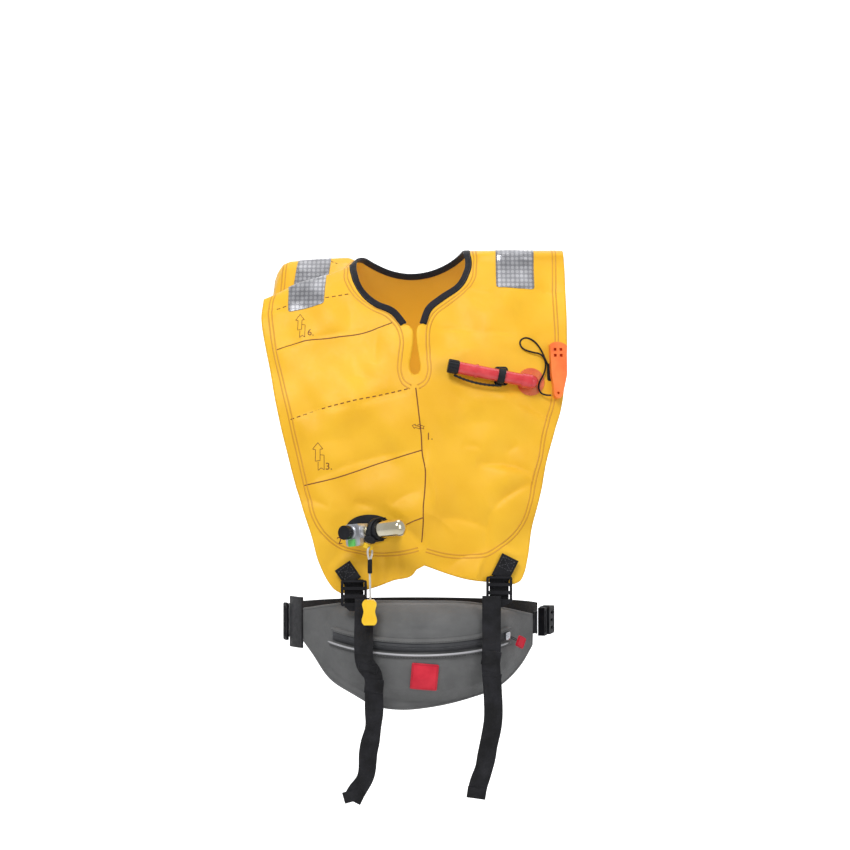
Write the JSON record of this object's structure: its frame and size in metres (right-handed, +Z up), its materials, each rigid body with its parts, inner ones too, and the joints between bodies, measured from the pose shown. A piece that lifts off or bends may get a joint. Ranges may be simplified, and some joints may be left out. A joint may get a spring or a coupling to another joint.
{
  "type": "inflatable life jacket",
  "caption": "Belt-pack inflatable life jacket: flat two-sheet bladder over chest and shoulders with gas inflator, oral tube, whistle, straps and a waist pouch on a buckled belt.",
  "frame": {"origin": "crest of the shoulders on the middle line of the neck opening, where the jacket rests on its wearer", "axes": "+Z up, -Y to the front, +X to the left hand of the wearer"},
  "size_m": [0.3572, 0.3042, 0.6425],
  "materials": {
    "bladder_fabric": "semi-matt coated nylon",
    "black_webbing": "woven webbing",
    "grey_fabric": "woven polyester",
    "reflective_tape": "retro-reflective film",
    "red_tube": "translucent",
    "orange_disc": "translucent",
    "black_plastic": "moulded",
    "black_rubber": "matt",
    "orange_plastic": "moulded",
    "grey_plastic": "moulded",
    "green_plastic": "moulded",
    "yellow_plastic": "moulded",
    "steel": "plated",
    "brass": "machined",
    "white_cord": "braided",
    "black_cord": "braided",
    "red_rubber": "moulded",
    "light_piping": "reflective piping"
  },
  "bodies": {
    "jacket": {"belt_loop_right": "black_webbing", "belt_short": "black_webbing", "belt_webbing": "black_webbing", "bladder_inner_sheet": "bladder_fabric", "bladder_outer_sheet": "bladder_fabric", "buckle_plug": "black_plastic", "buckle_socket": "black_plastic", "cap_tether": "black_rubber", "cylinder_band": "black_rubber", "cylinder_seal": "black_rubber", "indicator_clip": "green_plastic", "inflator_body": "grey_plastic", "ladder_lock_left": "black_plastic", "ladder_lock_right": "black_plastic", "lever_pin": "steel", "load_strap_left": "black_webbing", "load_strap_right": "black_webbing", "manifold_flange": "black_rubber", "manifold_stem": "brass", "neck_binding": "black_webbing", "oral_elbow": "red_tube", "oral_flange": "orange_disc", "oral_tube": "red_tube", "pouch_back_panel": "grey_fabric", "pouch_bag": "grey_fabric", "pouch_patch": "red_rubber", "pouch_piping": "light_piping", "reflective_tape_left": "reflective_tape", "reflective_tape_right": "reflective_tape", "stem_gasket_front": "black_rubber", "stem_gasket_rear": "black_rubber", "strap_tab_left": "black_webbing", "strap_tab_right": "black_webbing", "tri_glide": "black_plastic", "tube_collar": "red_tube", "tube_keeper": "black_rubber", "valve_seat": "black_plastic", "whistle_anchor": "black_rubber", "zip_tape": "grey_fabric"},
    "lever": {"lever": "yellow_plastic"},
    "lanyard": {"lanyard_cord": "white_cord", "lanyard_sleeve": "black_plastic", "lanyard_toggle": "yellow_plastic"},
    "pierce_pin": {"pierce_pin": "steel"},
    "cap_nut": {"cap_nut": "black_plastic"},
    "gas_cylinder": {"gas_cylinder": "steel"},
    "oral_cap": {"oral_cap": "black_plastic"},
    "valve_poppet": {"valve_poppet": "black_plastic"},
    "whistle": {"whistle": "orange_plastic", "whistle_cord": "black_cord"},
    "zip_slider": {"zip_slider": "steel"},
    "zip_pull": {"zip_pull_cord": "black_cord", "zip_pull_tag": "red_rubber"},
    "strap_tail_right": {"strap_tail_right": "black_webbing"},
    "strap_tail_left": {"strap_tail_left": "black_webbing"},
    "buckle_prong_upper": {"buckle_prong_upper": "black_plastic"},
    "buckle_prong_lower": {"buckle_prong_lower": "black_plastic"}
  },
  "joints": [
    {"name": "lever_pull", "type": "hinge", "parent": "jacket", "child": "lever", "pos_m": [-0.06542, -0.14301, -0.34125], "axis": [0.5736, 0.8192, 0], "range_deg": [0, 34]},
    {"name": "lanyard_follow", "type": "hinge", "parent": "lever", "child": "lanyard", "pos_m": [-0.0501, -0.15373, -0.34692], "axis": [0.5736, 0.8192, 0], "range_deg": [-40, 4]},
    {"name": "pierce_pin_drive", "type": "slide", "parent": "jacket", "child": "pierce_pin", "axis": [0.8147, -0.5704, 0.1045], "range_m": [0, 0.0014]},
    {"name": "cap_nut_turn", "type": "hinge", "parent": "jacket", "child": "cap_nut", "pos_m": [-0.06807, -0.14115, -0.32952], "axis": [-0.5736, -0.8192, 0], "continuous": true},
    {"name": "cylinder_screw", "type": "hinge", "parent": "jacket", "child": "gas_cylinder", "pos_m": [-0.064, -0.144, -0.329], "axis": [0.8147, -0.5704, 0.1045], "continuous": true},
    {"name": "cap_pull_off", "type": "slide", "parent": "jacket", "child": "oral_cap", "axis": [-0.9802, -0.0619, 0.1881], "range_m": [0, 0.018]},
    {"name": "poppet_push", "type": "slide", "parent": "jacket", "child": "valve_poppet", "axis": [0.9802, 0.0619, -0.1881], "range_m": [0, 0.0015], "stiffness_N_per_m": 300, "springref_m": -0.001},
    {"name": "whistle_turn", "type": "hinge", "parent": "jacket", "child": "whistle", "pos_m": [0.15828, -0.09693, -0.146], "axis": [0.1872, -0.9611, 0.2031], "range_deg": [0, 12]},
    {"name": "zip_run", "type": "hinge", "parent": "jacket", "child": "zip_slider", "pos_m": [0.007, -0.0225, -0.4248], "axis": [0, 0.225, -0.9744], "range_deg": [0, 95]},
    {"name": "zip_pull_swing", "type": "hinge", "parent": "zip_slider", "child": "zip_pull", "pos_m": [0.10981, -0.10618, -0.4513], "axis": [0.7615, -0.6315, -0.1458], "range_deg": [-55, 30]},
    {"name": "tail_right_swing", "type": "hinge", "parent": "jacket", "child": "strap_tail_right", "pos_m": [-0.057, -0.1346, -0.406], "axis": [1, 0, 0], "range_deg": [-12, 0]},
    {"name": "tail_left_swing", "type": "hinge", "parent": "jacket", "child": "strap_tail_left", "pos_m": [0.089, -0.1314, -0.403], "axis": [-1, 0, 0], "range_deg": [0, 35]},
    {"name": "prong_upper_squeeze", "type": "hinge", "parent": "jacket", "child": "buckle_prong_upper", "pos_m": [0.15407, -0.02154, -0.431], "axis": [-0.9751, 0.2219, 0], "range_deg": [0, 8], "stiffness_Nm_per_rad": 0.5, "springref_deg": -1.15},
    {"name": "prong_lower_squeeze", "type": "hinge", "parent": "jacket", "child": "buckle_prong_lower", "pos_m": [0.15407, -0.02154, -0.449], "axis": [-0.9751, 0.2219, 0], "range_deg": [-8, 0], "stiffness_Nm_per_rad": 0.5, "springref_deg": 1.15}
  ],
  "couplings": [
    {"joint": "lanyard_follow", "follows": "lever_pull", "ratio": -1},
    {"joint": "pierce_pin_drive", "follows": "lever_pull", "m_per_rad": 0.0022},
    {"joint": "prong_lower_squeeze", "follows": "prong_upper_squeeze", "ratio": -1}
  ]
}
